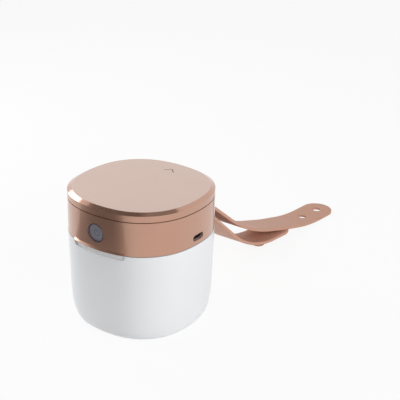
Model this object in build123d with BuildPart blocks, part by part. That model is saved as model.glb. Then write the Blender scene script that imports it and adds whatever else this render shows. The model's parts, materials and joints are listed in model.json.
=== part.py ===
from build123d import *
import os
from math import acos, atan2, cos, degrees, hypot, radians, sin, sqrt, tan

# A portable case that cleans small items with ultraviolet light.
# Frame: +Z up, origin on the table under the middle of the case, the power button faces -Y,
# the charging port faces +X, and the hinge and the carry strap are at the back, +Y.

# ------------------------------------------------------------------ outside of the case
CASE_HEIGHT = 82.0      # table to the top of the cap
FACE_HALF = 41.1        # middle axis to the middle of a side
CORNER_EXTRA = 1.85     # how much further out the rounded corners stand
FACE_RADIUS = 64.7      # plan radius of the gently curved sides
CAP_HEIGHT = 5.4        # cap seam to the top
CAP_BEVEL_IN = 2.65     # bevel round the cap, measured inwards
CAP_BEVEL_DOWN = 1.4    # the same bevel, measured down
CAP_WALL = 1.8
CAP_TOP = 1.8
CAP_SEAM = 0.5          # dark line between cap and collar
COLLAR_HEIGHT = 20.7    # rim seam to cap seam
COLLAR_WALL = 1.8
RIM_SEAM = 0.4          # dark line between collar and bowl
SPIGOT_HEIGHT = 1.6     # the collar's locating spigot reaches this far into the cap
SPIGOT_ROOT = 2.4
SPIGOT_WALL = 1.2
FIT = 0.1               # clearance between pieces that locate in each other

# ------------------------------------------------------------------ bowl, liner and foot
BOWL_FLARE = 0.1        # the bowl's mouth stands this far outside the collar
BOWL_TAPER = 0.95       # inset gained from the mouth down to the bottom rounding
ROUND_IN = 5.2          # bottom rounding, measured inwards
ROUND_UP = 21.6         # bottom rounding, measured up
ROUND_STEPS = 8         # sections lofted through the rounding
TAPER_STEPS = 6         # sections lofted through the wall above it
BOWL_WALL = 2.0
BOWL_FLOOR = 2.4
RIM_BAND = 6.0          # the thick band under the mouth reaches this far in
RIM_BAND_HEIGHT = 6.0
LEDGE_INSET = 1.3       # outer edge of the ledge that the liner's flange lies on
LINER_GAP = 0.4
LINER_WALL = 1.0
LINER_LIFT = 1.2        # liner floor above the bowl floor
FOOT_PROUD = 0.4        # the foot stands this far below the bowl
FOOT_GROOVE = 1.0
FOOT_INSET = 9.0
FOOT_WIDTH = 4.0
NOTCH_HALF = 18.4       # finger notch in the mouth, under the button
NOTCH_HEIGHT = 2.8
NOTCH_DEPTH = 1.2
NOTCH_CORNER = 1.8
LIP_HEIGHT = 1.6        # finger lip along the collar's lower edge, over the notch
LIP_PROUD = 0.5
TOOL_REACH = 3.0        # how far a cutting shape stands outside the wall it cuts

# ------------------------------------------------------------------ lid underside and lamp
COVER_LIFT = 1.1        # rim seam to the underside of the inner cover
COVER_THICK = 1.6
PLUG_DROP = 2.2         # the plug reaches this far below the rim seam
PLUG_GAP = 0.8
PLUG_WALL = 1.4
SEAL_WIDTH = 3.0
SEAL_CLEAR = 0.3        # the seal stops this far above the liner's flange
WINDOW_RADIUS = 14.0
WINDOW_THICK = 1.2
WINDOW_STEP = 1.2
REFLECTOR_RADIUS = 15.0
REFLECTOR_THROAT = 11.0
LAMP_BOARD_RADIUS = 14.6
LAMP_BOARD_THICK = 1.0
LAMP_GAP = 0.4          # connector height between lamp board and main board
CONNECTOR_LENGTH = 8.0
CONNECTOR_WIDTH = 3.0
LED_SIZE = 3.5
LED_THICK = 1.3
LED_RING = 6.0
LED_COUNT = 4

# ------------------------------------------------------------------ boards, battery, screws
BOARD_INSET = 8.5
BOARD_THICK = 1.2
BOARD_TAB = 6.5         # half width of the board's tabs for the switch and the port
POST_HALF = 20.0        # board posts, from the axis along X and Y
POST_RADIUS = 2.3
BOARD_SCREW_RADIUS = 0.9
BOARD_SCREW_HEAD = 1.7
BOARD_SCREW_LENGTH = 3.4
COVER_SCREW_RADIUS = 1.1
COVER_SCREW_HEAD = 1.9
COVER_SCREW_LENGTH = 7.0
SCREW_HEAD_THICK = 1.0
BOSS_RADIUS = 3.2
BOSS_ROOT = 0.6         # how deep a screw boss is rooted in the collar's wall
BOSS_HEIGHT = 10.0
BATTERY_LENGTH = 40.0
BATTERY_WIDTH = 28.0
BATTERY_THICK = 8.0
BATTERY_EDGE = 1.5
PAD_THICK = 1.0
LEAD_RADIUS = 0.6
LEAD_REACH = 5.0
LEAD_SPREAD = 2.0
LEAD_BEND = 2.0
CHIPS = (               # place along X and Y, then length, width and thickness
    (-26.0, 0.0, 5.0, 7.0, 1.0),
    (0.0, 24.0, 6.0, 4.0, 1.2),
    (25.0, -11.0, 4.0, 4.0, 1.0),
    (25.0, 11.0, 4.0, 4.0, 2.0),
)
SENSOR_SIZE = 3.0
SENSOR_THICK = 1.2
MAGNET_RADIUS = 1.6
MAGNET_LENGTH = 3.0
LID_MAGNET_LENGTH = 2.4
MAGNET_COVER = 0.6      # plastic left under a lid magnet
MAGNET_BOSS_WALL = 0.9
MAGNET_X = 10.0
MAGNET_INSET = 3.7

# ------------------------------------------------------------------ button and switch
BEZEL_RADIUS = 5.65
BEZEL_WALL = 0.5
BEZEL_PROUD = 0.05
BUTTON_DROP = 0.3       # the button's middle lies this far below the collar's
BUTTON_RECESS = 1.0     # the button's face lies this far behind the wall
BUTTON_GAP = 0.15
BUTTON_THICK = 2.2
FLANGE_EXTRA = 0.9
FLANGE_THICK = 0.8
WELL_GAP = 0.2
WELL_WALL = 1.0
STEM_RADIUS = 1.6
STEM_LENGTH = 1.4
DISH_DEPTH = 0.25
DISH_RIM = 0.8
ICON_RADIUS = 1.9
ICON_LINE = 0.45
ICON_DEPTH = 0.2
ICON_STEM = 2.6         # length of the upright line
ICON_OPENING = 70.0     # degrees left open at the top of the icon's ring
PRESS_TRAVEL = 0.5
TOUCH = 0.02            # running gap between faces that push each other
PLUNGER_RADIUS = 1.3
PLUNGER_OUT = 1.0
PLUNGER_IN = 0.8
SWITCH_WIDTH = 6.0
SWITCH_DEPTH = 3.4
SWITCH_HEIGHT = 5.2
LED_LIGHT = 1.4         # status light behind the button

# ------------------------------------------------------------------ charging port
PORT_SIDE_GAP = 0.35    # the opening in the collar stands this far outside the socket
PORT_TOP_GAP = 0.3
SOCKET_CLEAR = 0.2      # the socket stands this far above the inner cover
PORT_RECESS = 1.2
SOCKET_WIDTH = 8.9
SOCKET_HEIGHT = 3.2
SOCKET_WALL = 0.3
SOCKET_LENGTH = 7.4
TONGUE_WIDTH = 6.6
TONGUE_THICK = 0.7
TONGUE_SETBACK = 0.8
TONGUE_ROOT = 1.6

# ------------------------------------------------------------------ hinge and strap
HINGE_OUT = 4.0         # hinge axis outside the collar's back wall
PIN_RADIUS = 1.25
PIN_CLEAR = 0.06
KNUCKLE_RADIUS = 3.3
KNUCKLE_WIDTH = 3.0
KNUCKLE_GAP = 0.4
LID_ARM_HEIGHT = 9.0    # how far up the collar a lid arm is rooted
BOWL_ARM_HEIGHT = 5.4   # how far down the rim band a bowl arm is rooted
LID_ARM_ROOT = 0.7      # how deep an arm is rooted in its wall
BOWL_ARM_ROOT = 2.2
PIN_CAP_RADIUS = 2.6
PIN_CAP_THICK = 1.2
PIN_CAP_GRIP = 0.8
PIN_CAP_EDGE = 0.4
STRAP_WIDTH = 22.0
STRAP_THICK = 2.0
STRAP_LOOP_GAP = 0.1
STRAND_BLANK = 48.0     # half width of the blank that a strand is cut from
LONG_DRIFT = 4.7        # degrees that a laid-out strand runs off towards +X
SHORT_DRIFT = 6.3
DRIFT_START = 6.0       # straight run from the hinge axis before it does
DRIFT_RADIUS = 60.0
STUD_PITCH = 18.5
STUD_NECK = 2.9
STUD_HEAD = 4.4
STUD_NECK_LENGTH = 3.5
STUD_HEAD_LENGTH = 1.4
HOLE_GAP = 0.3          # clearance round a stud's neck in a hole
# Seen from the side a strand runs straight between corners, and a round bend eases each one:
# distance out from the hinge axis, share of the drop to the table still left, radius of the bend.
LONG_CORNERS = ((11.0, 0.93, 60.0), (50.0, 0.35, 120.0), (92.0, 0.13, 120.0), (124.0, 0.0, 120.0))
SHORT_CORNERS = ((11.0, 0.79, 60.0), (53.0, 0.0, 62.0))
LONG_REACH = 148.0      # hinge axis to the middle of the rounded end, where the end hole is
SHORT_REACH = 90.6
STUD_REACH = 93.0       # hinge axis to the end stud

# ------------------------------------------------------------------ opening mark on the cap
MARK_TIP_Y = 29.4
MARK_ARM = 3.6
MARK_LINE = 0.6
MARK_DEPTH = 0.3

# ------------------------------------------------------------------ worked-out places
CORNER_HALF = FACE_HALF + CORNER_EXTRA
CAP_SEAM_Z = CASE_HEIGHT - CAP_HEIGHT
RIM_SEAM_Z = CAP_SEAM_Z - COLLAR_HEIGHT
CAP_BOTTOM = CAP_SEAM_Z + CAP_SEAM / 2
COLLAR_TOP = CAP_SEAM_Z - CAP_SEAM / 2
COLLAR_BOTTOM = RIM_SEAM_Z + RIM_SEAM / 2
BOWL_TOP = RIM_SEAM_Z - RIM_SEAM / 2
BOWL_BASE = FOOT_PROUD
COVER_BOTTOM = RIM_SEAM_Z + COVER_LIFT
COVER_TOP = COVER_BOTTOM + COVER_THICK
LINER_INSET = RIM_BAND + LINER_GAP + BOWL_FLARE
LINER_BASE = BOWL_BASE + BOWL_FLOOR + LINER_LIFT
PLUG_INSET = LINER_INSET + LINER_WALL + PLUG_GAP
PORT_Z = COVER_TOP + SOCKET_CLEAR + SOCKET_HEIGHT / 2
BOARD_BOTTOM = PORT_Z + SOCKET_HEIGHT / 2
BOARD_TOP = BOARD_BOTTOM + BOARD_THICK
LAMP_BOARD_TOP = BOARD_BOTTOM - LAMP_GAP
LAMP_BOARD_BOTTOM = LAMP_BOARD_TOP - LAMP_BOARD_THICK
PORT_WIDTH = SOCKET_WIDTH + 2 * PORT_SIDE_GAP
PORT_HEIGHT = SOCKET_HEIGHT + 2 * PORT_TOP_GAP
SOCKET_FACE_X = FACE_HALF - PORT_RECESS
SOCKET_BACK_X = SOCKET_FACE_X - SOCKET_LENGTH
BUTTON_RADIUS = BEZEL_RADIUS - BEZEL_WALL - BUTTON_GAP
FLANGE_RADIUS = BUTTON_RADIUS + FLANGE_EXTRA
BUTTON_Z = (RIM_SEAM_Z + CAP_SEAM_Z) / 2 - BUTTON_DROP
BUTTON_FACE_Y = -FACE_HALF + BUTTON_RECESS
BUTTON_BACK_Y = BUTTON_FACE_Y + BUTTON_THICK
FLANGE_BACK_Y = BUTTON_BACK_Y + FLANGE_THICK
PLUNGER_TIP_Y = FLANGE_BACK_Y + STEM_LENGTH + TOUCH
SWITCH_FRONT_Y = PLUNGER_TIP_Y + PLUNGER_OUT
HINGE_Y = FACE_HALF + HINGE_OUT
HINGE_Z = RIM_SEAM_Z
LID_KNUCKLE_X = STRAP_WIDTH / 2 + KNUCKLE_GAP
BOWL_KNUCKLE_X = LID_KNUCKLE_X + KNUCKLE_WIDTH + KNUCKLE_GAP
PIN_HALF = BOWL_KNUCKLE_X + KNUCKLE_WIDTH + PIN_CAP_GRIP
BOSS_HALF = (CORNER_HALF - COLLAR_WALL - BOSS_RADIUS + BOSS_ROOT) / sqrt(2)
STUD_LENGTH = STUD_NECK_LENGTH + STUD_HEAD_LENGTH
HOLE_RADIUS = STUD_NECK + HOLE_GAP
WELL_RADIUS = FLANGE_RADIUS + WELL_GAP


def plan(inset, height):
    """The case's outline in plan at a height: a rounded square of eight arcs, moved in by inset."""
    side_centre = FACE_RADIUS - FACE_HALF
    corner_radius = (
        FACE_RADIUS**2 - CORNER_HALF**2 - side_centre**2 - sqrt(2) * side_centre * CORNER_HALF
    ) / (2 * FACE_RADIUS - 2 * CORNER_HALF - sqrt(2) * side_centre)
    corner_centre = (CORNER_HALF - corner_radius) / sqrt(2)
    side_span = degrees(atan2(corner_centre, side_centre + corner_centre))
    with BuildSketch(Plane.XY.offset(height)) as outline:
        with BuildLine():
            for turn in (0, 90, 180, 270):
                side = Vector(-side_centre, 0).rotate(Axis.Z, turn)
                corner = Vector(corner_centre, corner_centre).rotate(Axis.Z, turn)
                CenterArc(side, FACE_RADIUS - inset, turn - side_span, 2 * side_span)
                CenterArc(corner, corner_radius - inset, turn + side_span, 90 - 2 * side_span)
        make_face()
    return outline.sketch


def side_y(x, inset):
    """Distance from the axis to a side's curved face, moved in by inset, at x along the side."""
    side_centre = FACE_RADIUS - FACE_HALF
    return sqrt((FACE_RADIUS - inset) ** 2 - x**2) - side_centre


def slab(inset, low, high, mode=Mode.ADD):
    """A block of the case's outline between two heights."""
    extrude(plan(inset, low), amount=high - low, mode=mode)


def ring_slab(outer_inset, inner_inset, low, high):
    """A band between two insets and two heights, in a part that holds nothing else there."""
    slab(outer_inset, low, high)
    slab(inner_inset, low, high, Mode.SUBTRACT)


def bowl_form(wall, floor, mode=Mode.ADD):
    """The bowl's tapered, round-bottomed form, moved in by wall, from a floor to its mouth."""
    waist = BOWL_BASE + ROUND_UP
    sections = []
    for step in range(ROUND_STEPS, 0, -1):
        angle = radians(90 * step / ROUND_STEPS)
        inset = BOWL_TAPER + ROUND_IN * (1 - cos(angle))
        sections.append(plan(wall + inset - BOWL_FLARE, waist - (waist - floor) * sin(angle)))
    for step in range(TAPER_STEPS + 1):
        share = step / TAPER_STEPS
        inset = BOWL_TAPER * (1 - share)
        sections.append(plan(wall + inset - BOWL_FLARE, waist + (BOWL_TOP - waist) * share))
    loft(sections, mode=mode)


def hinge_arm(x, root_y, near, far):
    """Side view, at x, of a hinge arm from its wall to its knuckle. It meets the wall between
    two heights, near the seam and far from it."""
    side = 1 if far > near else -1
    with BuildSketch(Plane.YZ.offset(x)) as arm:
        with Locations((HINGE_Y, HINGE_Z)):
            Circle(KNUCKLE_RADIUS)
        with BuildLine():
            Polyline(
                (root_y, near),
                (root_y, far),
                (HINGE_Y, HINGE_Z + side * KNUCKLE_RADIUS),
                (HINGE_Y, HINGE_Z),
                (HINGE_Y - KNUCKLE_RADIUS, HINGE_Z),
                close=True,
            )
        make_face()
    return arm.sketch


def along_y(x, y, z):
    """A place whose own Z axis points along +Y, for the button and its switch."""
    return Location((x, y, z), (-90, 0, 0))


def along_x(x, y, z):
    """A place whose own Z axis points along +X, for the hinge pin and the port."""
    return Location((x, y, z), (0, 90, 0))


UP_FROM = (Align.CENTER, Align.CENTER, Align.MIN)
CORNERS = [(x, y) for x in (-1, 1) for y in (-1, 1)]
boss_places = [(x * BOSS_HALF, y * BOSS_HALF) for x, y in CORNERS]
post_places = [(x * POST_HALF, y * POST_HALF) for x, y in CORNERS]
magnet_places = [(x, -side_y(MAGNET_X, MAGNET_INSET)) for x in (-MAGNET_X, MAGNET_X)]
sensor_magnet_place = (-side_y(0, MAGNET_INSET), 0)

os.makedirs("parts", exist_ok=True)

# ================================================================== bowl
with BuildPart() as notch_tool:
    slab(-TOOL_REACH, BOWL_TOP - NOTCH_HEIGHT, BOWL_TOP + NOTCH_HEIGHT)
    slab(NOTCH_DEPTH - BOWL_FLARE, BOWL_TOP - NOTCH_HEIGHT, BOWL_TOP + NOTCH_HEIGHT, Mode.SUBTRACT)
    with BuildSketch(Plane.XZ):
        with Locations((0, BOWL_TOP)):
            RectangleRounded(2 * NOTCH_HALF, 2 * NOTCH_HEIGHT, NOTCH_CORNER)
    extrude(amount=FACE_HALF + TOOL_REACH, mode=Mode.INTERSECT)

bowl_arm_root = side_y(BOWL_KNUCKLE_X + KNUCKLE_WIDTH, 0) - BOWL_ARM_ROOT
with BuildPart() as body_shell:
    bowl_form(0, BOWL_BASE)
    bowl_form(BOWL_WALL, BOWL_BASE + BOWL_FLOOR, Mode.SUBTRACT)
    slab(BOWL_WALL / 2, BOWL_TOP - RIM_BAND_HEIGHT, BOWL_TOP)
    for x in (BOWL_KNUCKLE_X, -BOWL_KNUCKLE_X - KNUCKLE_WIDTH):
        extrude(
            hinge_arm(x, bowl_arm_root, BOWL_TOP, BOWL_TOP - BOWL_ARM_HEIGHT), amount=KNUCKLE_WIDTH
        )
    slab(RIM_BAND, BOWL_TOP - RIM_BAND_HEIGHT, BOWL_TOP, Mode.SUBTRACT)
    slab(LEDGE_INSET, BOWL_TOP - LINER_WALL, BOWL_TOP, Mode.SUBTRACT)
    add(notch_tool.part, mode=Mode.SUBTRACT)
    with Locations(along_x(0, HINGE_Y, HINGE_Z)):
        Cylinder(PIN_RADIUS, 2 * PIN_HALF, mode=Mode.SUBTRACT)
    with Locations((0, 0, BOWL_TOP - LINER_WALL - MAGNET_LENGTH)):
        with Locations(*magnet_places, sensor_magnet_place):
            Cylinder(MAGNET_RADIUS + FIT / 2, MAGNET_LENGTH, align=UP_FROM, mode=Mode.SUBTRACT)
    slab(FOOT_INSET, BOWL_BASE, BOWL_BASE + FOOT_GROOVE, Mode.SUBTRACT)
    slab(FOOT_INSET + FOOT_WIDTH, BOWL_BASE, BOWL_BASE + FOOT_GROOVE)

with BuildPart() as inner_liner:
    bowl_form(LINER_INSET, LINER_BASE)
    slab(LEDGE_INSET + FIT, BOWL_TOP - LINER_WALL, BOWL_TOP)
    bowl_form(LINER_INSET + LINER_WALL, LINER_BASE + LINER_WALL, Mode.SUBTRACT)

with BuildPart() as base_foot:
    ring_slab(FOOT_INSET + FIT, FOOT_INSET + FOOT_WIDTH - FIT, 0, BOWL_BASE + FOOT_GROOVE)

with BuildPart() as bowl_magnets:
    with Locations((0, 0, BOWL_TOP - LINER_WALL - MAGNET_LENGTH)):
        with Locations(*magnet_places):
            Cylinder(MAGNET_RADIUS, MAGNET_LENGTH, align=UP_FROM)

with BuildPart() as sensor_magnet:
    with Locations((0, 0, BOWL_TOP - LINER_WALL - MAGNET_LENGTH)):
        with Locations(sensor_magnet_place):
            Cylinder(MAGNET_RADIUS, MAGNET_LENGTH, align=UP_FROM)

with BuildPart() as hinge_pin:
    with Locations(along_x(0, HINGE_Y, HINGE_Z)):
        Cylinder(PIN_RADIUS, 2 * PIN_HALF)

with BuildPart() as pin_caps:
    with Locations(
        along_x(PIN_HALF + (PIN_CAP_THICK - 2 * PIN_CAP_GRIP) / 2 + TOUCH, HINGE_Y, HINGE_Z),
        along_x(-PIN_HALF - (PIN_CAP_THICK - 2 * PIN_CAP_GRIP) / 2 - TOUCH, HINGE_Y, HINGE_Z),
    ):
        Cylinder(PIN_CAP_RADIUS, PIN_CAP_THICK)
    with Locations(along_x(0, HINGE_Y, HINGE_Z)):
        Cylinder(PIN_RADIUS, 2 * PIN_HALF, mode=Mode.SUBTRACT)
    outer_rims = pin_caps.edges().filter_by(GeomType.CIRCLE).sort_by(Axis.X)
    fillet([outer_rims[0], outer_rims[-1]], PIN_CAP_EDGE)

# ================================================================== collar and cap
with BuildPart() as finger_lip:
    loft(
        [plan(-LIP_PROUD, COLLAR_BOTTOM), plan(FIT, COLLAR_BOTTOM + LIP_HEIGHT)],
        ruled=True,
    )
    slab(COLLAR_WALL / 2, COLLAR_BOTTOM, COLLAR_BOTTOM + LIP_HEIGHT, Mode.SUBTRACT)
    with BuildSketch(Plane.XZ):
        with Locations((0, COLLAR_BOTTOM)):
            Rectangle(2 * NOTCH_HALF, 2 * LIP_HEIGHT)
    extrude(amount=FACE_HALF + TOOL_REACH, mode=Mode.INTERSECT)

lid_arm_root = side_y(LID_KNUCKLE_X + KNUCKLE_WIDTH, 0) - LID_ARM_ROOT
with BuildPart() as collar_housing:
    ring_slab(0, COLLAR_WALL, COLLAR_BOTTOM, COLLAR_TOP)
    add(finger_lip.part)
    slab(COLLAR_WALL / 2, COLLAR_TOP - SPIGOT_ROOT, COLLAR_TOP)
    slab(CAP_WALL + FIT, COLLAR_TOP, CAP_SEAM_Z + SPIGOT_HEIGHT)
    slab(
        CAP_WALL + FIT + SPIGOT_WALL,
        COLLAR_TOP - SPIGOT_ROOT,
        CAP_SEAM_Z + SPIGOT_HEIGHT,
        Mode.SUBTRACT,
    )
    with Locations((0, 0, COVER_TOP)):
        with Locations(*boss_places):
            Cylinder(BOSS_RADIUS, BOSS_HEIGHT, align=UP_FROM)
    with Locations(along_y(0, -FACE_HALF + COLLAR_WALL / 2, BUTTON_Z)):
        Cylinder(
            WELL_RADIUS + WELL_WALL,
            FLANGE_BACK_Y + FACE_HALF - COLLAR_WALL / 2,
            align=UP_FROM,
        )
    for x in (LID_KNUCKLE_X, -LID_KNUCKLE_X - KNUCKLE_WIDTH):
        extrude(
            hinge_arm(x, lid_arm_root, COLLAR_BOTTOM, COLLAR_BOTTOM + LID_ARM_HEIGHT),
            amount=KNUCKLE_WIDTH,
        )
    with Locations(along_x(0, HINGE_Y, HINGE_Z)):
        Cylinder(PIN_RADIUS + PIN_CLEAR, 2 * PIN_HALF, mode=Mode.SUBTRACT)
    with Locations((0, 0, COVER_TOP)):
        with Locations(*boss_places):
            Cylinder(
                COVER_SCREW_RADIUS + FIT / 2,
                COVER_SCREW_LENGTH + FIT,
                align=UP_FROM,
                mode=Mode.SUBTRACT,
            )
    with Locations(along_y(0, -FACE_HALF - TOOL_REACH, BUTTON_Z)):
        Cylinder(
            BEZEL_RADIUS + FIT / 2, 2 * TOOL_REACH + WELL_WALL, align=UP_FROM, mode=Mode.SUBTRACT
        )
    with Locations(along_y(0, BUTTON_BACK_Y - TOUCH, BUTTON_Z)):
        Cylinder(WELL_RADIUS, TOOL_REACH, align=UP_FROM, mode=Mode.SUBTRACT)
    with BuildSketch(Plane.YZ.offset(FACE_HALF - 2 * COLLAR_WALL)):
        with Locations((0, PORT_Z)):
            SlotOverall(PORT_WIDTH, PORT_HEIGHT)
    extrude(amount=2 * COLLAR_WALL + TOOL_REACH, mode=Mode.SUBTRACT)


def opening_mark_line(depth, mode=Mode.ADD):
    """The plain arrow head set into the cap, pointing at the hinge."""
    with BuildSketch(Plane.XY.offset(CASE_HEIGHT)) as arrow:
        with BuildLine():
            Polyline(
                (-MARK_ARM, MARK_TIP_Y - MARK_ARM), (0, MARK_TIP_Y), (MARK_ARM, MARK_TIP_Y - MARK_ARM)
            )
        trace(line_width=MARK_LINE)
    extrude(arrow.sketch, amount=-depth, mode=mode)


with BuildPart() as top_cover:
    slab(0, CAP_BOTTOM, CASE_HEIGHT - CAP_BEVEL_DOWN)
    loft(
        [plan(0, CASE_HEIGHT - CAP_BEVEL_DOWN), plan(CAP_BEVEL_IN, CASE_HEIGHT)],
        ruled=True,
    )
    slab(CAP_WALL, CAP_BOTTOM, CASE_HEIGHT - CAP_TOP, Mode.SUBTRACT)
    opening_mark_line(MARK_DEPTH, Mode.SUBTRACT)

with BuildPart() as opening_mark:
    opening_mark_line(MARK_DEPTH)

# ================================================================== lid underside and lamp
with BuildPart() as inner_cover:
    slab(COLLAR_WALL + FIT, COVER_BOTTOM, COVER_TOP)
    slab(PLUG_INSET, RIM_SEAM_Z - PLUG_DROP, COVER_BOTTOM)
    slab(PLUG_INSET + PLUG_WALL, RIM_SEAM_Z - PLUG_DROP, COVER_BOTTOM, Mode.SUBTRACT)
    with Locations((0, 0, COVER_BOTTOM)):
        with Locations(*magnet_places):
            Cylinder(
                MAGNET_RADIUS + MAGNET_BOSS_WALL, LID_MAGNET_LENGTH + MAGNET_COVER, align=UP_FROM
            )
    slab(
        COLLAR_WALL + FIT,
        RIM_SEAM_Z - PLUG_DROP,
        COVER_BOTTOM + LID_MAGNET_LENGTH + MAGNET_COVER,
        Mode.INTERSECT,
    )
    with Locations((0, 0, COVER_BOTTOM + MAGNET_COVER)):
        with Locations(*magnet_places):
            Cylinder(MAGNET_RADIUS + FIT / 2, LID_MAGNET_LENGTH, align=UP_FROM, mode=Mode.SUBTRACT)
    with Locations((0, 0, COVER_TOP)):
        with Locations(*post_places):
            Cylinder(POST_RADIUS, BOARD_BOTTOM - COVER_TOP, align=UP_FROM)
            Cylinder(
                BOARD_SCREW_RADIUS + FIT / 2,
                BOARD_BOTTOM - COVER_TOP,
                align=UP_FROM,
                mode=Mode.SUBTRACT,
            )
    with Locations((0, 0, COVER_BOTTOM)):
        with Locations(*boss_places):
            Cylinder(
                COVER_SCREW_RADIUS + FIT / 2, COVER_THICK, align=UP_FROM, mode=Mode.SUBTRACT
            )
            Cylinder(
                COVER_SCREW_HEAD + FIT, SCREW_HEAD_THICK, align=UP_FROM, mode=Mode.SUBTRACT
            )
        Cylinder(WINDOW_RADIUS - WINDOW_STEP, COVER_THICK, align=UP_FROM, mode=Mode.SUBTRACT)
    with Locations((0, 0, COVER_TOP - WINDOW_THICK)):
        Cylinder(WINDOW_RADIUS + FIT / 2, WINDOW_THICK, align=UP_FROM, mode=Mode.SUBTRACT)
    with Locations(along_y(0, -FACE_HALF, BUTTON_Z)):
        Cylinder(
            WELL_RADIUS + WELL_WALL + FIT,
            FLANGE_BACK_Y + FACE_HALF + FIT,
            align=UP_FROM,
            mode=Mode.SUBTRACT,
        )

with BuildPart() as lid_seal:
    ring_slab(PLUG_INSET - SEAL_WIDTH, PLUG_INSET - FIT, BOWL_TOP + SEAL_CLEAR, COVER_BOTTOM)

with BuildPart() as lamp_window:
    with Locations((0, 0, COVER_TOP - WINDOW_THICK)):
        Cylinder(WINDOW_RADIUS, WINDOW_THICK, align=UP_FROM)

with BuildPart() as reflector:
    with Locations((0, 0, COVER_TOP)):
        Cylinder(REFLECTOR_RADIUS, LAMP_BOARD_BOTTOM - COVER_TOP, align=UP_FROM)
        Cone(
            WINDOW_RADIUS - WINDOW_STEP,
            REFLECTOR_THROAT,
            LAMP_BOARD_BOTTOM - COVER_TOP,
            align=UP_FROM,
            mode=Mode.SUBTRACT,
        )

with BuildPart() as lamp_board:
    with Locations((0, 0, LAMP_BOARD_BOTTOM)):
        Cylinder(LAMP_BOARD_RADIUS, LAMP_BOARD_THICK, align=UP_FROM)

with BuildPart() as uv_leds:
    with Locations((0, 0, LAMP_BOARD_BOTTOM - LED_THICK)):
        with PolarLocations(LED_RING, LED_COUNT):
            Box(LED_SIZE, LED_SIZE, LED_THICK, align=UP_FROM)

with BuildPart() as lamp_connector:
    with Locations((0, 0, LAMP_BOARD_TOP)):
        Box(CONNECTOR_LENGTH, CONNECTOR_WIDTH, LAMP_GAP, align=UP_FROM)

# ================================================================== boards and battery
with BuildPart() as main_board:
    slab(BOARD_INSET, BOARD_BOTTOM, BOARD_TOP)
    with BuildSketch(Plane.XY.offset(BOARD_BOTTOM)):
        with Locations((SOCKET_FACE_X - COLLAR_WALL, 0)):
            Rectangle(BOARD_INSET, 2 * BOARD_TAB, align=(Align.MAX, Align.CENTER))
        with Locations((0, SWITCH_FRONT_Y)):
            Rectangle(2 * BOARD_TAB, BOARD_INSET, align=(Align.CENTER, Align.MIN))
    extrude(amount=BOARD_THICK)
    with Locations((0, 0, BOARD_BOTTOM)):
        with Locations(*post_places):
            Cylinder(
                BOARD_SCREW_RADIUS + FIT, BOARD_THICK, align=UP_FROM, mode=Mode.SUBTRACT
            )

with BuildPart() as board_screws:
    with Locations((0, 0, BOARD_TOP)):
        with Locations(*post_places):
            Cylinder(BOARD_SCREW_HEAD, SCREW_HEAD_THICK, align=UP_FROM)
    with Locations((0, 0, BOARD_TOP - BOARD_SCREW_LENGTH)):
        with Locations(*post_places):
            Cylinder(BOARD_SCREW_RADIUS, BOARD_SCREW_LENGTH, align=UP_FROM)

with BuildPart() as cover_screws:
    with Locations((0, 0, COVER_BOTTOM)):
        with Locations(*boss_places):
            Cylinder(COVER_SCREW_HEAD, SCREW_HEAD_THICK, align=UP_FROM)
            Cylinder(COVER_SCREW_RADIUS, COVER_THICK + COVER_SCREW_LENGTH, align=UP_FROM)

with BuildPart() as board_chips:
    with Locations((0, 0, BOARD_TOP)):
        for x, y, length, width, thick in CHIPS:
            with Locations((x, y)):
                Box(length, width, thick, align=UP_FROM)

with BuildPart() as battery_pad:
    with Locations((0, 0, BOARD_TOP)):
        Box(BATTERY_LENGTH - PAD_THICK, BATTERY_WIDTH - PAD_THICK, PAD_THICK, align=UP_FROM)

with BuildPart() as battery:
    with Locations((0, 0, BOARD_TOP + PAD_THICK)):
        Box(BATTERY_LENGTH, BATTERY_WIDTH, BATTERY_THICK, align=UP_FROM)
    fillet(battery.edges().filter_by(Axis.Y), BATTERY_EDGE)

lead_height = BOARD_TOP + PAD_THICK + BATTERY_THICK / 2
lead_parts = []
for y in (-LEAD_SPREAD, LEAD_SPREAD):
    with BuildPart() as lead:
        with BuildLine(Plane.XZ.offset(-y)):
            FilletPolyline(
                (BATTERY_LENGTH / 2, lead_height),
                (BATTERY_LENGTH / 2 + LEAD_REACH, lead_height),
                (BATTERY_LENGTH / 2 + LEAD_REACH, BOARD_TOP),
                radius=LEAD_BEND,
            )
        with BuildSketch(Plane.YZ.offset(BATTERY_LENGTH / 2)):
            with Locations((y, lead_height)):
                Circle(LEAD_RADIUS)
        sweep()
    lead_parts.append(lead.part)

with BuildPart() as battery_leads:
    add(lead_parts)

with BuildPart() as lid_sensor:
    with Locations((-side_y(0, BOARD_INSET) + SENSOR_SIZE, 0, BOARD_BOTTOM - SENSOR_THICK)):
        Box(SENSOR_SIZE, SENSOR_SIZE, SENSOR_THICK, align=UP_FROM)

with BuildPart() as lid_magnets:
    with Locations((0, 0, COVER_BOTTOM + MAGNET_COVER)):
        with Locations(*magnet_places):
            Cylinder(MAGNET_RADIUS, LID_MAGNET_LENGTH, align=UP_FROM)

# ================================================================== button and switch
bezel_front = -FACE_HALF - BEZEL_PROUD
with BuildPart() as button_bezel:
    with Locations(along_y(0, bezel_front, BUTTON_Z)):
        Cylinder(BEZEL_RADIUS, BUTTON_BACK_Y - TOUCH - bezel_front, align=UP_FROM)
        Cylinder(
            BEZEL_RADIUS - BEZEL_WALL,
            BUTTON_BACK_Y - TOUCH - bezel_front,
            align=UP_FROM,
            mode=Mode.SUBTRACT,
        )


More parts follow.
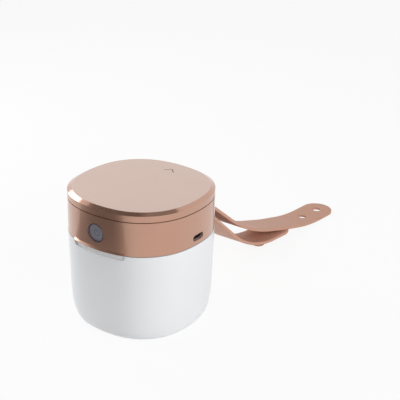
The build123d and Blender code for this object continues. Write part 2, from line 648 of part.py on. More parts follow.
def power_icon(depth, mode=Mode.ADD):
    """The usual on-off sign: a ring open at the top with an upright line in the opening."""
    with BuildSketch(Plane.XZ.offset(-BUTTON_FACE_Y - DISH_DEPTH)) as icon:
        with BuildLine() as ring:
            CenterArc((0, BUTTON_Z), ICON_RADIUS, 90 + ICON_OPENING / 2, 360 - ICON_OPENING)
        trace(ring.line, line_width=ICON_LINE)
        with Locations((0, BUTTON_Z + ICON_RADIUS / 2)):
            Rectangle(ICON_LINE, ICON_STEM)
    extrude(icon.sketch, amount=-depth, mode=mode)


with BuildPart() as power_button:
    with Locations(along_y(0, BUTTON_FACE_Y, BUTTON_Z)):
        Cylinder(BUTTON_RADIUS, BUTTON_THICK, align=UP_FROM)
        Cylinder(BUTTON_RADIUS - DISH_RIM, DISH_DEPTH, align=UP_FROM, mode=Mode.SUBTRACT)
    with Locations(along_y(0, BUTTON_BACK_Y, BUTTON_Z)):
        Cylinder(FLANGE_RADIUS, FLANGE_THICK, align=UP_FROM)
        Cylinder(STEM_RADIUS, FLANGE_THICK + STEM_LENGTH, align=UP_FROM)
    power_icon(ICON_DEPTH, Mode.SUBTRACT)

with BuildPart() as button_icon:
    power_icon(ICON_DEPTH)

with BuildPart() as switch_body:
    with Locations((0, SWITCH_FRONT_Y, BOARD_TOP)):
        Box(
            SWITCH_WIDTH,
            SWITCH_DEPTH,
            SWITCH_HEIGHT,
            align=(Align.CENTER, Align.MIN, Align.MIN),
        )
    with Locations(along_y(0, SWITCH_FRONT_Y, BUTTON_Z)):
        Cylinder(
            PLUNGER_RADIUS + FIT,
            PLUNGER_IN + PRESS_TRAVEL + FIT,
            align=UP_FROM,
            mode=Mode.SUBTRACT,
        )

with BuildPart() as switch_plunger:
    with Locations(along_y(0, PLUNGER_TIP_Y, BUTTON_Z)):
        Cylinder(PLUNGER_RADIUS, PLUNGER_OUT + PLUNGER_IN, align=UP_FROM)

with BuildPart() as status_light:
    with Locations((SWITCH_WIDTH / 2 + LED_LIGHT, SWITCH_FRONT_Y + LED_LIGHT, BOARD_TOP)):
        Box(LED_LIGHT, LED_LIGHT, LED_LIGHT, align=UP_FROM)

# ================================================================== charging port
with BuildPart() as charge_socket:
    with BuildSketch(Plane.YZ.offset(SOCKET_BACK_X)):
        with Locations((0, PORT_Z)):
            SlotOverall(SOCKET_WIDTH, SOCKET_HEIGHT)
    extrude(amount=SOCKET_LENGTH)
    with BuildSketch(Plane.YZ.offset(SOCKET_BACK_X + SOCKET_WALL)):
        with Locations((0, PORT_Z)):
            SlotOverall(SOCKET_WIDTH - 2 * SOCKET_WALL, SOCKET_HEIGHT - 2 * SOCKET_WALL)
    extrude(amount=SOCKET_LENGTH, mode=Mode.SUBTRACT)

with BuildPart() as charge_tongue:
    with Locations((SOCKET_BACK_X + SOCKET_WALL, 0, PORT_Z)):
        Box(
            SOCKET_LENGTH - SOCKET_WALL - TONGUE_SETBACK,
            TONGUE_WIDTH,
            TONGUE_THICK,
            align=(Align.MIN, Align.CENTER, Align.CENTER),
        )
    with BuildSketch(Plane.YZ.offset(SOCKET_BACK_X + SOCKET_WALL)):
        with Locations((0, PORT_Z)):
            SlotOverall(SOCKET_WIDTH - 2 * SOCKET_WALL, SOCKET_HEIGHT - 2 * SOCKET_WALL)
    extrude(amount=TONGUE_ROOT)

# ================================================================== carry strap
loop_middle = PIN_RADIUS + STRAP_LOOP_GAP + STRAP_THICK / 2


def strand_point(reach, drift):
    """Middle of a strand in plan, reach from the hinge axis along Y, past its sideways bend."""
    turn = radians(drift)
    straight = reach - DRIFT_START - DRIFT_RADIUS * sin(turn)
    return Vector(DRIFT_RADIUS * (1 - cos(turn)) + straight * tan(turn), HINGE_Y + reach)


def strand(corners, rest, reach, drift, side):
    """One flat strand: its side view across the case, kept inside its outline in plan.
    It leaves the loop above the pin (side 1) or below it (side -1)."""
    points = [(HINGE_Y + out, rest + (HINGE_Z - rest) * share) for out, share, bend in corners]
    bends = [bend for out, share, bend in corners]
    out, rise = points[0][0] - HINGE_Y, points[0][1] - HINGE_Z
    lean = atan2(rise, out) + side * acos(loop_middle / hypot(rise, out))
    root = (HINGE_Y + loop_middle * cos(lean), HINGE_Z + loop_middle * sin(lean))
    end = strand_point(reach, drift)
    with BuildPart() as flat:
        with BuildSketch(Plane.YZ.offset(-STRAND_BLANK)):
            with BuildLine() as route:
                FilletPolyline(root, *points, (end.Y + STRAP_WIDTH, rest), radius=bends)
            trace(route.line, line_width=STRAP_THICK)
        extrude(amount=2 * STRAND_BLANK)
        with BuildSketch():
            with BuildLine() as course:
                Line((0, HINGE_Y - KNUCKLE_RADIUS), (0, HINGE_Y + DRIFT_START))
                turn = JernArc((0, HINGE_Y + DRIFT_START), (0, 1), DRIFT_RADIUS, -drift)
                Line(turn @ 1, end)
            trace(course.line, line_width=STRAP_WIDTH)
            with Locations(end):
                Circle(STRAP_WIDTH / 2)
        extrude(amount=CASE_HEIGHT, mode=Mode.INTERSECT)
    return flat.part


def pair_places(reach, drift):
    """The last hole or stud of a strand, at its reach, and the one before it."""
    last = strand_point(reach, drift)
    return [last, last - Vector(0, STUD_PITCH).rotate(Axis.Z, -drift)]


long_rest = STRAP_THICK / 2
short_rest = STUD_LENGTH + STRAP_THICK / 2
with BuildPart() as carry_strap:
    add(strand(LONG_CORNERS, long_rest, LONG_REACH, LONG_DRIFT, 1))
    add(strand(SHORT_CORNERS, short_rest, SHORT_REACH, SHORT_DRIFT, -1))
    with Locations(along_x(0, HINGE_Y, HINGE_Z)):
        Cylinder(loop_middle + STRAP_THICK / 2, STRAP_WIDTH)
        Cylinder(loop_middle - STRAP_THICK / 2, STRAP_WIDTH, mode=Mode.SUBTRACT)
    for place in pair_places(LONG_REACH, LONG_DRIFT):
        with Locations((place.X, place.Y, 0)):
            Cylinder(HOLE_RADIUS, CASE_HEIGHT, mode=Mode.SUBTRACT)
    for place in pair_places(STUD_REACH, SHORT_DRIFT):
        with Locations((place.X, place.Y, 0)):
            Cylinder(STUD_HEAD, STUD_HEAD_LENGTH, align=UP_FROM)
            Cylinder(STUD_NECK, short_rest, align=UP_FROM)

# ================================================================== write the pieces
pieces = {
    "body_shell": body_shell,
    "inner_liner": inner_liner,
    "base_foot": base_foot,
    "bowl_magnets": bowl_magnets,
    "sensor_magnet": sensor_magnet,
    "hinge_pin": hinge_pin,
    "pin_caps": pin_caps,
    "collar_housing": collar_housing,
    "top_cover": top_cover,
    "opening_mark": opening_mark,
    "inner_cover": inner_cover,
    "lid_seal": lid_seal,
    "lamp_window": lamp_window,
    "reflector": reflector,
    "lamp_board": lamp_board,
    "uv_leds": uv_leds,
    "lamp_connector": lamp_connector,
    "main_board": main_board,
    "board_screws": board_screws,
    "cover_screws": cover_screws,
    "board_chips": board_chips,
    "battery_pad": battery_pad,
    "battery": battery,
    "battery_leads": battery_leads,
    "lid_sensor": lid_sensor,
    "lid_magnets": lid_magnets,
    "button_bezel": button_bezel,
    "power_button": power_button,
    "button_icon": button_icon,
    "switch_body": switch_body,
    "switch_plunger": switch_plunger,
    "status_light": status_light,
    "charge_socket": charge_socket,
    "charge_tongue": charge_tongue,
    "carry_strap": carry_strap,
}
for name, piece in pieces.items():
    piece.part.label = name
    export_step(piece.part, f"parts/{name}.step")
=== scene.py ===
import json
from math import acos, atan2, cos, hypot, pi, radians, sin, tan

import bmesh
import bpy
import numpy as np
from mathutils import Matrix, Vector
from mathutils.geometry import delaunay_2d_cdt


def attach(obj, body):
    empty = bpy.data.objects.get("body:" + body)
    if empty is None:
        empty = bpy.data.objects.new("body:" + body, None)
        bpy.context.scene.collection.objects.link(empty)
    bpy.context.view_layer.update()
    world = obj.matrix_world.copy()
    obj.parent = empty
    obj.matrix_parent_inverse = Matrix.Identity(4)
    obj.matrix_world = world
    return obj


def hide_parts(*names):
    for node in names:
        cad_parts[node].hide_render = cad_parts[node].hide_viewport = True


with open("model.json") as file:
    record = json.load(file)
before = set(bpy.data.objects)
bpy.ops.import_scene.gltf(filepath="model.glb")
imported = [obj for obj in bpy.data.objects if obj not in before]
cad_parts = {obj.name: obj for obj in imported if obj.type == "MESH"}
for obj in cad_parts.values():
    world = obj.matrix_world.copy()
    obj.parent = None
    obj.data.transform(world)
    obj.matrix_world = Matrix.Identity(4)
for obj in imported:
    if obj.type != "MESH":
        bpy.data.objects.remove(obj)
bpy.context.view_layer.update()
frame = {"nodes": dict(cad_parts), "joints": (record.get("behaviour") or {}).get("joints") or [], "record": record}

MM = 0.001

# ------------------------------------------------------------------ camera
CAMERA_PLACE = Vector((0.3500, -0.4381, 0.3154))
CAMERA_AZIMUTH = radians(35.145)
CAMERA_TILT_DOWN = radians(23.436)
CAMERA_ROLL = radians(1.261)
SENSOR_WIDTH = 36.0
IMAGE_WIDTH = 400               # pixels, and the focal length is in them too
FOCAL_PIXELS = 1047.3
FAR_CLIP = 20.0


def make_camera():
    """The photograph's view, from in front, to the right and above."""
    data = bpy.data.cameras.new("view")
    data.sensor_width = SENSOR_WIDTH
    data.lens = FOCAL_PIXELS / IMAGE_WIDTH * SENSOR_WIDTH
    data.clip_end = FAR_CLIP
    camera = bpy.data.objects.new("view", data)
    bpy.context.scene.collection.objects.link(camera)
    turn = Matrix.Rotation(CAMERA_AZIMUTH, 4, "Z") @ Matrix.Rotation(pi / 2 - CAMERA_TILT_DOWN, 4, "X")
    camera.matrix_world = Matrix.Translation(CAMERA_PLACE) @ turn @ Matrix.Rotation(CAMERA_ROLL, 4, "Z")
    bpy.context.scene.camera = camera


# ------------------------------------------------------------------ studio
AIM = Vector((0, 0, 0.04))      # the point on the object that lamps and cards look at
CARD_ROUGH = 0.9
CARD_TONE = 0.1
WORLD_LIGHT = 0.35
FLOOR_HALF = 4.0
FLOOR_TONE = 0.9
FLOOR_SHADOW = 0.1              # how much of the floor's own shading is kept
WHITE_RAYS = ("Is Camera Ray", "Is Glossy Ray", "Is Transmission Ray")
TABLE_CARD_AZIMUTH = -24
TABLE_CARD_LIFT = 0.003


def stand_round(thing, azimuth, elevation, distance):
    """Puts a lamp or a card round the object, at an azimuth and elevation, facing it."""
    a, e = radians(azimuth), radians(elevation)
    away = Vector((sin(a) * cos(e), -cos(a) * cos(e), sin(e)))
    thing.location = AIM + away * distance
    thing.rotation_euler = away.to_track_quat("Z", "Y").to_euler()


def area_light(name, azimuth, elevation, distance, width, height, power):
    """A soft box that looks at the object."""
    data = bpy.data.lights.new(name, "AREA")
    data.shape = "RECTANGLE"
    data.size = width
    data.size_y = height
    data.energy = power
    lamp = bpy.data.objects.new(name, data)
    bpy.context.scene.collection.objects.link(lamp)
    stand_round(lamp, azimuth, elevation, distance)


def flat_sheet(name, half_width, half_height):
    """A plain rectangle about the origin, as a new object."""
    mesh = bpy.data.meshes.new(name)
    w, h = half_width, half_height
    mesh.from_pydata([(-w, -h, 0), (w, -h, 0), (w, h, 0), (-w, h, 0)], [], [(0, 1, 2, 3)])
    sheet = bpy.data.objects.new(name, mesh)
    bpy.context.scene.collection.objects.link(sheet)
    return sheet


def dark_card(name, azimuth, elevation, distance, width, height, tone=CARD_TONE, gloss_only=False):
    """A dark card that keeps light off one side, as in a photographer's studio. It isn't seen
    itself. One for the gloss only darkens nothing but what shiny faces show."""
    card = flat_sheet(name, width / 2, height / 2)
    stand_round(card, azimuth, elevation, distance)
    card.visible_camera = False
    card.visible_diffuse = not gloss_only
    card.visible_shadow = not gloss_only
    card.visible_transmission = not gloss_only
    material = bpy.data.materials.new(name)
    material.use_nodes = True
    shader = material.node_tree.nodes["Principled BSDF"]
    shader.inputs["Base Color"].default_value = (tone, tone, tone, 1)
    shader.inputs["Roughness"].default_value = CARD_ROUGH
    card.data.materials.append(material)
    return card


def background_share(tree):
    """1 for the kinds of ray that see the white background, 0 for the rest."""
    path = tree.nodes.new("ShaderNodeLightPath")
    share = path.outputs[WHITE_RAYS[0]]
    for name in WHITE_RAYS[1:]:
        more = tree.nodes.new("ShaderNodeMath")
        more.operation = "MAXIMUM"
        tree.links.new(share, more.inputs[0])
        tree.links.new(path.outputs[name], more.inputs[1])
        share = more.outputs[0]
    return share


def make_world():
    """White where it is seen, and a plain soft light elsewhere."""
    world = bpy.data.worlds.new("studio")
    bpy.context.scene.world = world
    world.use_nodes = True
    tree = world.node_tree
    tree.nodes.clear()
    seen = tree.nodes.new("ShaderNodeBackground")
    seen.inputs["Color"].default_value = (1, 1, 1, 1)
    seen.inputs["Strength"].default_value = 1.0
    light = tree.nodes.new("ShaderNodeBackground")
    light.inputs["Color"].default_value = (1, 1, 1, 1)
    light.inputs["Strength"].default_value = WORLD_LIGHT
    mix = tree.nodes.new("ShaderNodeMixShader")
    out = tree.nodes.new("ShaderNodeOutputWorld")
    tree.links.new(background_share(tree), mix.inputs[0])
    tree.links.new(light.outputs[0], mix.inputs[1])
    tree.links.new(seen.outputs[0], mix.inputs[2])
    tree.links.new(mix.outputs[0], out.inputs["Surface"])


def make_floor():
    """A plain white table that keeps a faint shadow of the object."""
    floor = flat_sheet("floor", FLOOR_HALF, FLOOR_HALF)
    material = bpy.data.materials.new("floor_white")
    material.use_nodes = True
    tree = material.node_tree
    tree.nodes.clear()
    plain = tree.nodes.new("ShaderNodeBsdfDiffuse")
    plain.inputs["Color"].default_value = (FLOOR_TONE, FLOOR_TONE, FLOOR_TONE, 1)
    white = tree.nodes.new("ShaderNodeEmission")
    white.inputs["Strength"].default_value = 1.0
    share = tree.nodes.new("ShaderNodeMath")
    share.operation = "MULTIPLY"
    share.inputs[1].default_value = 1 - FLOOR_SHADOW
    mix = tree.nodes.new("ShaderNodeMixShader")
    out = tree.nodes.new("ShaderNodeOutputMaterial")
    tree.links.new(background_share(tree), share.inputs[0])
    tree.links.new(share.outputs[0], mix.inputs[0])
    tree.links.new(plain.outputs[0], mix.inputs[1])
    tree.links.new(white.outputs[0], mix.inputs[2])
    tree.links.new(mix.outputs[0], out.inputs["Surface"])
    floor.data.materials.append(material)


# ------------------------------------------------------------------ materials
DRIFT_SCALE = 38.0              # noise scale of the slow changes in tint and roughness
DRIFT_DETAIL = 3.0
GRAIN_DETAIL = 2.0
DARK_STOP = 0.3                 # where in the drift the tint is at its darkest and lightest
LIGHT_STOP = 0.7
LEAST_ROUGH = 0.02
FLAKE_SCALE = 4200.0
RELIEF_HEIGHT = 0.0002
SUBSURFACE_SCALE = 0.004
# The upward part of a face's normal, 1 on a level face, sets where the painted top light goes and the bevel's
# gloss.
TOP_LIGHT_START = 0.93
TOP_LIGHT_FULL = 0.99
BEVEL_START = 0.70
BEVEL_FULL = 0.80
BEVEL_LAST = 0.92
BEVEL_END = 0.97


def noise(tree, place, scale, detail):
    """A noise texture in the piece's own space."""
    texture = tree.nodes.new("ShaderNodeTexNoise")
    texture.inputs["Scale"].default_value = scale
    texture.inputs["Detail"].default_value = detail
    tree.links.new(place.outputs["Object"], texture.inputs["Vector"])
    return texture


def map_range(tree, value, from_min=0.0, from_max=1.0, to_min=0.0, to_max=1.0):
    """A value carried from one range to another."""
    level = tree.nodes.new("ShaderNodeMapRange")
    level.inputs["From Min"].default_value = from_min
    level.inputs["From Max"].default_value = from_max
    level.inputs["To Min"].default_value = to_min
    level.inputs["To Max"].default_value = to_max
    tree.links.new(value, level.inputs["Value"])
    return level.outputs["Result"]


def drifting_tone(tree, drift, color, tint):
    """The base colour, a little darker here and lighter there."""
    tone = tree.nodes.new("ShaderNodeValToRGB")
    low, high = tone.color_ramp.elements
    low.position = DARK_STOP
    low.color = (*(c * (1 - tint) for c in color), 1)
    high.position = LIGHT_STOP
    high.color = (*(min(1.0, c * (1 + tint)) for c in color), 1)
    tree.links.new(drift.outputs["Fac"], tone.inputs["Fac"])
    return tone.outputs["Color"]


def flaked(tree, place, base, flakes):
    """The colour with the sparkle of fine metal flakes in it."""
    spark = tree.nodes.new("ShaderNodeTexVoronoi")
    spark.inputs["Scale"].default_value = FLAKE_SCALE
    tree.links.new(place.outputs["Object"], spark.inputs["Vector"])
    level = map_range(tree, spark.outputs["Color"], to_min=1 - flakes, to_max=1 + flakes)
    lit = tree.nodes.new("ShaderNodeVectorMath")
    lit.operation = "SCALE"
    tree.links.new(base, lit.inputs[0])
    tree.links.new(level, lit.inputs["Scale"])
    return lit.outputs["Vector"]


def painted_top_light(tree, upward, base, top_light):
    """The colour with a paler tone painted on the faces that look along the piece's own +Z: painted light for the
    light that the top catches from above.
    """
    level = map_range(tree, upward, from_min=TOP_LIGHT_START, from_max=TOP_LIGHT_FULL)
    blend = tree.nodes.new("ShaderNodeMixRGB")
    blend.inputs["Color2"].default_value = (*top_light, 1)
    tree.links.new(level, blend.inputs["Fac"])
    tree.links.new(base, blend.inputs["Color1"])
    return blend.outputs["Color"]


def polished(tree, upward, gloss, share):
    """The roughness brought down to a share of itself on the bevel under the top face with the painted light."""
    bevel = tree.nodes.new("ShaderNodeValToRGB")
    stops = bevel.color_ramp.elements
    spots = ((BEVEL_START, 1.0), (BEVEL_FULL, share), (BEVEL_LAST, share), (BEVEL_END, 1.0))
    for number, (spot, level) in enumerate(spots):
        stop = stops[number] if number < 2 else stops.new(spot)
        stop.position = spot
        stop.color = (level, level, level, 1)
    tree.links.new(upward, bevel.inputs["Fac"])
    scaled = tree.nodes.new("ShaderNodeMath")
    scaled.operation = "MULTIPLY"
    tree.links.new(gloss, scaled.inputs[0])
    tree.links.new(bevel.outputs["Color"], scaled.inputs[1])
    return scaled.outputs[0]


def moulded(name, color, rough, metallic=0.0, grain=2600.0, bump=0.04, tint=0.03, rough_spread=0.06,
            coat=0.0, specular=0.5, subsurface=0.0, transmission=0.0, flakes=0.0, top_light=None):
    """A procedural finish: base colour with a slow tint drift, roughness that varies, a fine grain
    in the bump and, for paint with metal in it, fine flakes in the colour. The top light is painted
    light: a paler tone on the faces that look along the piece's own +Z for the light the top catches, with the
    roughness of the bevel below."""
    material = bpy.data.materials.new(name)
    material.use_nodes = True
    tree = material.node_tree
    shader = tree.nodes["Principled BSDF"]
    shader.inputs["Metallic"].default_value = metallic
    shader.inputs["Coat Weight"].default_value = coat
    shader.inputs["Specular IOR Level"].default_value = specular
    shader.inputs["Subsurface Weight"].default_value = subsurface
    shader.inputs["Subsurface Scale"].default_value = SUBSURFACE_SCALE
    shader.inputs["Transmission Weight"].default_value = transmission

    place = tree.nodes.new("ShaderNodeTexCoord")
    drift = noise(tree, place, DRIFT_SCALE, DRIFT_DETAIL)
    fine = noise(tree, place, grain, GRAIN_DETAIL)
    base = drifting_tone(tree, drift, color, tint)
    gloss = map_range(tree, drift.outputs["Fac"], to_min=max(LEAST_ROUGH, rough - rough_spread),
                      to_max=min(1.0, rough + rough_spread))
    if flakes:
        base = flaked(tree, place, base, flakes)
    # painted light: faces that look up get a paler tone, for the light the top catches from above
    if top_light:
        tone, bevel_rough = top_light
        split = tree.nodes.new("ShaderNodeSeparateXYZ")
        tree.links.new(place.outputs["Normal"], split.inputs[0])
        base = painted_top_light(tree, split.outputs["Z"], base, tone)
        gloss = polished(tree, split.outputs["Z"], gloss, bevel_rough / rough)
    tree.links.new(base, shader.inputs["Base Color"])
    tree.links.new(gloss, shader.inputs["Roughness"])

    relief = tree.nodes.new("ShaderNodeBump")
    relief.inputs["Strength"].default_value = bump
    relief.inputs["Distance"].default_value = RELIEF_HEIGHT
    tree.links.new(fine.outputs["Fac"], relief.inputs["Height"])
    tree.links.new(relief.outputs["Normal"], shader.inputs["Normal"])
    return material


PAINT = dict(color=(0.52, 0.285, 0.2), rough=0.33, metallic=0.8, tint=0.02, flakes=0.04, coat=0.8)
# the paler tone painted on the cap's upward faces: painted light for the light its top catches from above
TOP_LIGHT_TONE = (0.47, 0.31, 0.245)
BEVEL_ROUGH = 0.15
MATERIALS = {
    "bowl_white": dict(color=(0.835, 0.85, 0.865), rough=0.36, bump=0.03, tint=0.008, coat=0.15),
    "liner_metallised": dict(color=(0.80, 0.81, 0.83), rough=0.16, metallic=1.0, bump=0.03, tint=0.01),
    "foot_rubber": dict(color=(0.50, 0.50, 0.51), rough=0.75, bump=0.12),
    "magnet_nickel": dict(color=(0.70, 0.69, 0.66), rough=0.18, metallic=1.0, bump=0.02),
    "steel": dict(color=(0.60, 0.60, 0.61), rough=0.28, metallic=1.0, bump=0.05, grain=1500.0),
    "collar_copper": PAINT,
    # the cap is the collar's paint with the painted top light on its upward faces
    "cap_rose": dict(PAINT, top_light=(TOP_LIGHT_TONE, BEVEL_ROUGH)),
    "mark_dark": dict(color=(0.10, 0.06, 0.05), rough=0.5),
    "cover_white": dict(color=(0.80, 0.80, 0.80), rough=0.5, bump=0.05, tint=0.01),
    "seal_rubber": dict(color=(0.55, 0.55, 0.55), rough=0.7, bump=0.08),
    "window_clear": dict(color=(0.85, 0.92, 0.96), rough=0.06, transmission=0.9, bump=0.005,
                         rough_spread=0.02),
    "board_white": dict(color=(0.75, 0.75, 0.73), rough=0.4, bump=0.04),
    "board_green": dict(color=(0.03, 0.17, 0.07), rough=0.35, bump=0.05, grain=900.0),
    "diode_cream": dict(color=(0.75, 0.66, 0.34), rough=0.15, coat=0.6),
    "connector_cream": dict(color=(0.70, 0.66, 0.55), rough=0.5),
    "chip_black": dict(color=(0.025, 0.025, 0.028), rough=0.45, bump=0.06),
    "pad_foam": dict(color=(0.10, 0.10, 0.10), rough=0.9, bump=0.4, grain=1200.0),
    "battery_foil": dict(color=(0.60, 0.61, 0.63), rough=0.33, metallic=0.8, bump=0.15, grain=500.0),
    "lead_red": dict(color=(0.50, 0.04, 0.03), rough=0.4),
    "bezel_copper": dict(color=(0.30, 0.22, 0.26), rough=0.2, metallic=0.8, bump=0.01),
    "button_grey": dict(color=(0.27, 0.26, 0.30), rough=0.25, coat=0.8, bump=0.02, subsurface=0.1),
    "icon_slate": dict(color=(0.06, 0.07, 0.10), rough=0.5),
    "plunger_white": dict(color=(0.7, 0.7, 0.7), rough=0.5),
    "strap_silicone": dict(color=(0.58, 0.32, 0.23), rough=0.5, bump=0.06, tint=0.02, specular=0.3,
                           subsurface=0.05),
}


def dress_nodes():
    """Every carried-over CAD node gets the finish of its slot."""
    made = {name: moulded(name, **facts) for name, facts in MATERIALS.items()}
    for entry in frame["record"]["subparts"]:
        mesh = frame["nodes"][entry["node"]].data
        material = made[entry["material_slot"]]
        if not mesh.materials:
            mesh.materials.append(material)
        for index in range(len(mesh.materials)):
            mesh.materials[index] = material
    return made


# ------------------------------------------------------------------ carry strap
STRAP_WIDTH = 22 * MM
STRAP_THICK = 2 * MM
STRAP_EDGE = 0.5 * MM           # radius of its rounded edges
LOOP_MIDDLE = 2.35 * MM         # hinge axis to the middle of the loop's wall
LONG_DRIFT = radians(4.7)
SHORT_DRIFT = radians(6.3)
DRIFT_START = 6 * MM
DRIFT_RADIUS = 60 * MM
HOLE_RADIUS = 3.2 * MM
STUD_PITCH = 18.5 * MM
STUD_NECK = 2.9 * MM
STUD_HEAD = 4.4 * MM
STUD_NECK_LENGTH = 3.5 * MM
STUD_HEAD_LENGTH = 1.4 * MM
STUD_FACE_EDGE = 0.6 * MM       # rounding of a stud's outer face
STUD_BACK_EDGE = 0.5 * MM
# Seen from the side a strand runs straight between corners, and a round bend eases each one:
# distance out from the hinge axis, share of the drop to the table still left, radius of the bend.
LONG_CORNERS = ((11.0, 0.93, 60.0), (50.0, 0.35, 120.0), (92.0, 0.13, 120.0), (124.0, 0.0, 120.0))
SHORT_CORNERS = ((11.0, 0.79, 60.0), (53.0, 0.0, 62.0))
LONG_REACH = 148.0 * MM
SHORT_REACH = 90.6 * MM
STUD_REACH = 93.0 * MM
LONG_REST = STRAP_THICK / 2     # height of a strand's middle where it lies
SHORT_REST = STUD_NECK_LENGTH + STUD_HEAD_LENGTH + STRAP_THICK / 2
PROFILE_STEP = 0.25 * MM        # spacing at which a strand's side view is worked out
CELL = 1.5 * MM                 # mesh cell of a strand
CELL_MARGIN = 0.6 * CELL        # inner points stay this far from a rim
TIP_STEPS = 26
HOLE_STEPS = 32
WELD = 1e-7
BEVEL_SEGMENTS = 3
RIM_ANGLE = 1.0                 # radians; a sharper edge than this is a rim
SMOOTH_ANGLE = radians(40)

joints = {joint["name"]: joint for joint in frame["joints"]}
HINGE = Vector(joints["strap_swing"]["pos_m"])


def course(run, drift):
    """Plan place and heading of a strand's middle line at a length run from the hinge axis."""
    bend = DRIFT_RADIUS * drift
    if run <= DRIFT_START:
        return Vector((0, HINGE.y + run)), 0.0
    if run <= DRIFT_START + bend:
        turn = (run - DRIFT_START) / DRIFT_RADIUS
        side = DRIFT_RADIUS * (1 - cos(turn))
        return Vector((side, HINGE.y + DRIFT_START + DRIFT_RADIUS * sin(turn))), turn
    start, _ = course(DRIFT_START + bend, drift)
    heading = Vector((sin(drift), cos(drift)))
    return start + heading * (run - DRIFT_START - bend), drift


def course_run(reach, drift):
    """The length along the course at which it is reach out from the hinge axis."""
    bend = DRIFT_RADIUS * drift
    start, _ = course(DRIFT_START + bend, drift)
    return DRIFT_START + bend + (HINGE.y + reach - start.y) / cos(drift)


def strand_line(corners, rest, reach, side):
    """Height and slope of a strand's middle surface against Y: straight runs and round bends."""
    spots = [Vector((out * MM, rest + (HINGE.z - rest) * share)) for out, share, bend in corners]
    bends = [bend * MM for out, share, bend in corners]
    out, rise = spots[0].x, spots[0].y - HINGE.z
    lean = atan2(rise, out) + side * acos(LOOP_MIDDLE / hypot(rise, out))
    root = Vector((LOOP_MIDDLE * cos(lean), HINGE.z + LOOP_MIDDLE * sin(lean)))
    spots = [root, *spots, Vector((reach + STRAP_WIDTH, rest))]
    grid = np.arange(root.x, reach + STRAP_WIDTH, PROFILE_STEP)
    line = np.interp(grid, [spot.x for spot in spots], [spot.y for spot in spots])
    for back, corner, ahead, bend in zip(spots, spots[1:], spots[2:], bends):
        run_in, run_out = (corner - back).normalized(), (ahead - corner).normalized()
        turn = atan2(run_out.y, run_out.x) - atan2(run_in.y, run_in.x)
        cut = bend * tan(abs(turn) / 2)
        up = 1 if turn > 0 else -1
        start, stop = corner - cut * run_in, corner + cut * run_out
        centre = start + up * bend * Vector((-run_in.y, run_in.x))
        bent = (grid > start.x) & (grid < stop.x)
        line[bent] = centre.y - up * np.sqrt(bend**2 - (grid[bent] - centre.x) ** 2)
    return root.x, grid, line, np.gradient(line, PROFILE_STEP)


def strand_outline(start_run, end_run):
    """Outline of a strand in plan, in (run, across) terms, with a half-round end."""
    half = STRAP_WIDTH / 2
    count = int((end_run - start_run) / CELL)
    runs = [start_run + (end_run - start_run) * i / count for i in range(count + 1)]
    across = int(STRAP_WIDTH / CELL)
    right = [(run, half) for run in runs]
    tip = [(end_run + half * sin(a), half * cos(a)) for a in np.linspace(0, pi, TIP_STEPS)[1:-1]]
    left = [(run, -half) for run in reversed(runs)]
    root = [(start_run, -half + STRAP_WIDTH * i / across) for i in range(1, across)]
    return right + tip + left + root


def flat_strand(start_run, end_run, holes):
    """Triangles of a strand's flat pattern: its points in (run, across) terms, and its faces."""
    half = STRAP_WIDTH / 2
    rims = [strand_outline(start_run, end_run)]
    for hole in holes:
        rims.append([(hole + HOLE_RADIUS * cos(a), HOLE_RADIUS * sin(a))
                     for a in np.linspace(0, 2 * pi, HOLE_STEPS + 1)[:-1]])
    points, edges = [], []
    for rim in rims:
        base = len(points)
        points += rim
        edges += [(base + i, base + (i + 1) % len(rim)) for i in range(len(rim))]

    def inside(run, across, margin):
        if run < start_run + margin or abs(across) > half - margin:
            return False
        if run > end_run and hypot(run - end_run, across) > half - margin:
            return False
        return all(hypot(run - hole, across) > HOLE_RADIUS + margin for hole in holes)

    rows = int((end_run + half - start_run) / CELL)
    columns = int(STRAP_WIDTH / CELL)
    for i in range(1, rows):
        for j in range(1, columns):
            spot = (start_run + i * CELL, -half + j * CELL)
            if inside(*spot, CELL_MARGIN):
                points.append(spot)
    cut = delaunay_2d_cdt([Vector(p) for p in points], edges, [], 0, WELD)
    spots, faces = cut[0], cut[2]
    kept = []
    for face in faces:
        middle = sum((spots[i] for i in face), Vector((0, 0))) / 3
        if inside(middle.x, middle.y, 0):
            kept.append(face)
    return spots, kept


def strand_mesh(name, corners, rest, reach, drift, side, holes):
    """A flat silicone strand with rounded edges, bent down from the hinge to the table."""
    start_out, grid, line, slope = strand_line(corners, rest, reach, side)
    end_run = course_run(reach, drift)
    spots, faces = flat_strand(start_out, end_run, [end_run - h for h in holes])
    bm = bmesh.new()
    top = [bm.verts.new((p.x, p.y, STRAP_THICK / 2)) for p in spots]
    low = [bm.verts.new((p.x, p.y, -STRAP_THICK / 2)) for p in spots]
    sides = {}
    for face in faces:
        bm.faces.new([top[i] for i in face])
        bm.faces.new([low[i] for i in reversed(face)])
        for a, b in zip(face, face[1:] + face[:1]):
            sides[(a, b)] = True
    for a, b in sides:
        if (b, a) not in sides:
            bm.faces.new((top[b], top[a], low[a], low[b]))
    bmesh.ops.delete(bm, geom=[v for v in bm.verts if not v.link_faces], context="VERTS")
    bmesh.ops.recalc_face_normals(bm, faces=bm.faces)
    rims = [e for e in bm.edges if len(e.link_faces) == 2 and e.calc_face_angle() > RIM_ANGLE
            and abs(e.verts[0].co.z - e.verts[1].co.z) < STRAP_EDGE]
    bmesh.ops.bevel(bm, geom=rims, offset=STRAP_EDGE, segments=BEVEL_SEGMENTS, profile=0.5, affect="EDGES")
    for vert in bm.verts:
        run, across, lift = vert.co
        middle, heading = course(run, drift)
        spot = middle + across * Vector((cos(heading), -sin(heading)))
        out = spot.y - HINGE.y
        rise = np.interp(out, grid, slope)
        lean = hypot(1, rise)
        vert.co = (spot.x, spot.y - lift * rise / lean, np.interp(out, grid, line) + lift / lean)
    mesh = bpy.data.meshes.new(name)
    bm.to_mesh(mesh)
    bm.free()
    return mesh


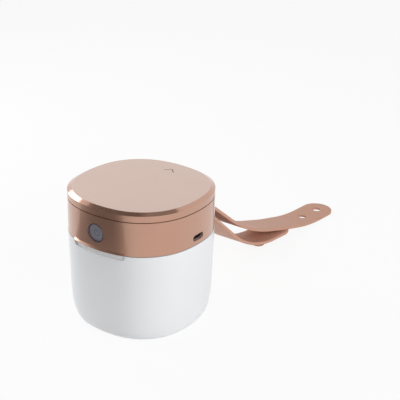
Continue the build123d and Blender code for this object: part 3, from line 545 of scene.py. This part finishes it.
def lathe(name, profile, place, steps=64):
    """A turned form: (radius, height) points turned about an upright axis. A place is a matrix."""
    bm = bmesh.new()
    rings = []
    for radius, height in profile:
        if radius == 0:
            rings.append([bm.verts.new((0, 0, height))])
        else:
            rings.append([
                bm.verts.new((radius * cos(2 * pi * k / steps), radius * sin(2 * pi * k / steps), height))
                for k in range(steps)
            ])
    for lower, upper in zip(rings, rings[1:]):
        for k in range(steps):
            quad = [lower[k % len(lower)], lower[(k + 1) % len(lower)],
                    upper[(k + 1) % len(upper)], upper[k % len(upper)]]
            bm.faces.new(list(dict.fromkeys(quad)))
    bmesh.ops.recalc_face_normals(bm, faces=bm.faces)
    bmesh.ops.transform(bm, matrix=place, verts=bm.verts)
    mesh = bpy.data.meshes.new(name)
    bm.to_mesh(mesh)
    bm.free()
    return mesh


def rounded(centre, radius, start, end, steps=5):
    """Points of a rounded corner in a lathe profile, angles in degrees."""
    return [(centre[0] + radius * cos(radians(a)), centre[1] + radius * sin(radians(a)))
            for a in np.linspace(start, end, steps)]


def add_piece(name, mesh, body, material):
    """A finished piece of the object: smooth where it curves, riding on its body."""
    piece = bpy.data.objects.new(name, mesh)
    bpy.context.scene.collection.objects.link(piece)
    mesh.materials.clear()
    mesh.materials.append(material)
    for polygon in mesh.polygons:
        polygon.use_smooth = True
    mesh.set_sharp_from_angle(angle=SMOOTH_ANGLE)
    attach(piece, body)
    return piece


def make_strap(material):
    """The silicone carry strap in its modelled pieces: two strands, the loop and the studs."""
    long_mesh = strand_mesh("strap_long_strand", LONG_CORNERS, LONG_REST, LONG_REACH, LONG_DRIFT, 1,
                            (0, STUD_PITCH))
    short_mesh = strand_mesh("strap_short_strand", SHORT_CORNERS, SHORT_REST, SHORT_REACH, SHORT_DRIFT, -1,
                             ())
    half, edge = STRAP_WIDTH / 2, STRAP_EDGE
    inner, outer = LOOP_MIDDLE - STRAP_THICK / 2, LOOP_MIDDLE + STRAP_THICK / 2
    ring = [(inner, half - edge), *rounded((inner + edge, half - edge), edge, 180, 90),
            *rounded((outer - edge, half - edge), edge, 90, 0),
            *rounded((outer - edge, edge - half), edge, 0, -90),
            *rounded((inner + edge, edge - half), edge, -90, -180), (inner, half - edge)]
    across = Matrix.Translation(HINGE) @ Matrix.Rotation(pi / 2, 4, "Y")
    loop_mesh = lathe("strap_loop", ring, across)
    pieces = [
        add_piece("strap_long_strand", long_mesh, "strap", material),
        add_piece("strap_short_strand", short_mesh, "strap", material),
        add_piece("strap_loop", loop_mesh, "strap", material),
    ]
    face, back_edge, head = STUD_FACE_EDGE, STUD_BACK_EDGE, STUD_HEAD_LENGTH
    profile = [(0, 0), *rounded((STUD_HEAD - face, face), face, -90, 0),
               *rounded((STUD_HEAD - back_edge, head - back_edge), back_edge, 0, 90),
               (STUD_NECK, head), (STUD_NECK, SHORT_REST)]
    stud_run = course_run(STUD_REACH, SHORT_DRIFT)
    for number, back in enumerate((0, STUD_PITCH), 1):
        spot, _ = course(stud_run - back, SHORT_DRIFT)
        mesh = lathe(f"strap_stud_{number}", profile, Matrix.Translation((spot.x, spot.y, 0)))
        pieces.append(add_piece(f"strap_stud_{number}", mesh, "strap", material))
    for piece in pieces:
        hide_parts("carry_strap")


# ------------------------------------------------------------------ the scene
bpy.context.scene.view_settings.view_transform = "Standard"
make_camera()
make_world()
make_floor()
# name, azimuth and elevation in degrees, distance, width and height in metres, then a lamp's watts
area_light("key", 78, 25, 0.9, 0.9, 0.8, 5.3)
area_light("left_strip", -72, 12, 0.7, 0.25, 0.6, 2.7)
area_light("edge_strip", -108, 34, 0.6, 0.2, 0.2, 0.7)
area_light("top", 218, 35, 1.2, 0.9, 0.6, 0.5)
dark_card("side_card", -15, 12, 0.34, 0.33, 0.4)
dark_card("over_card", -90, 69, 0.5, 0.42, 0.33, gloss_only=True)
dark_card("zenith_card", 180, 76, 0.55, 0.4, 0.3, tone=0.35, gloss_only=True)
table_card = dark_card("table_card", TABLE_CARD_AZIMUTH, 0, 0.23, 0.19, 0.24, gloss_only=True)
table_card.location.z = TABLE_CARD_LIFT
table_card.rotation_euler = (0, 0, radians(TABLE_CARD_AZIMUTH))
finishes = dress_nodes()
make_strap(finishes["strap_silicone"])
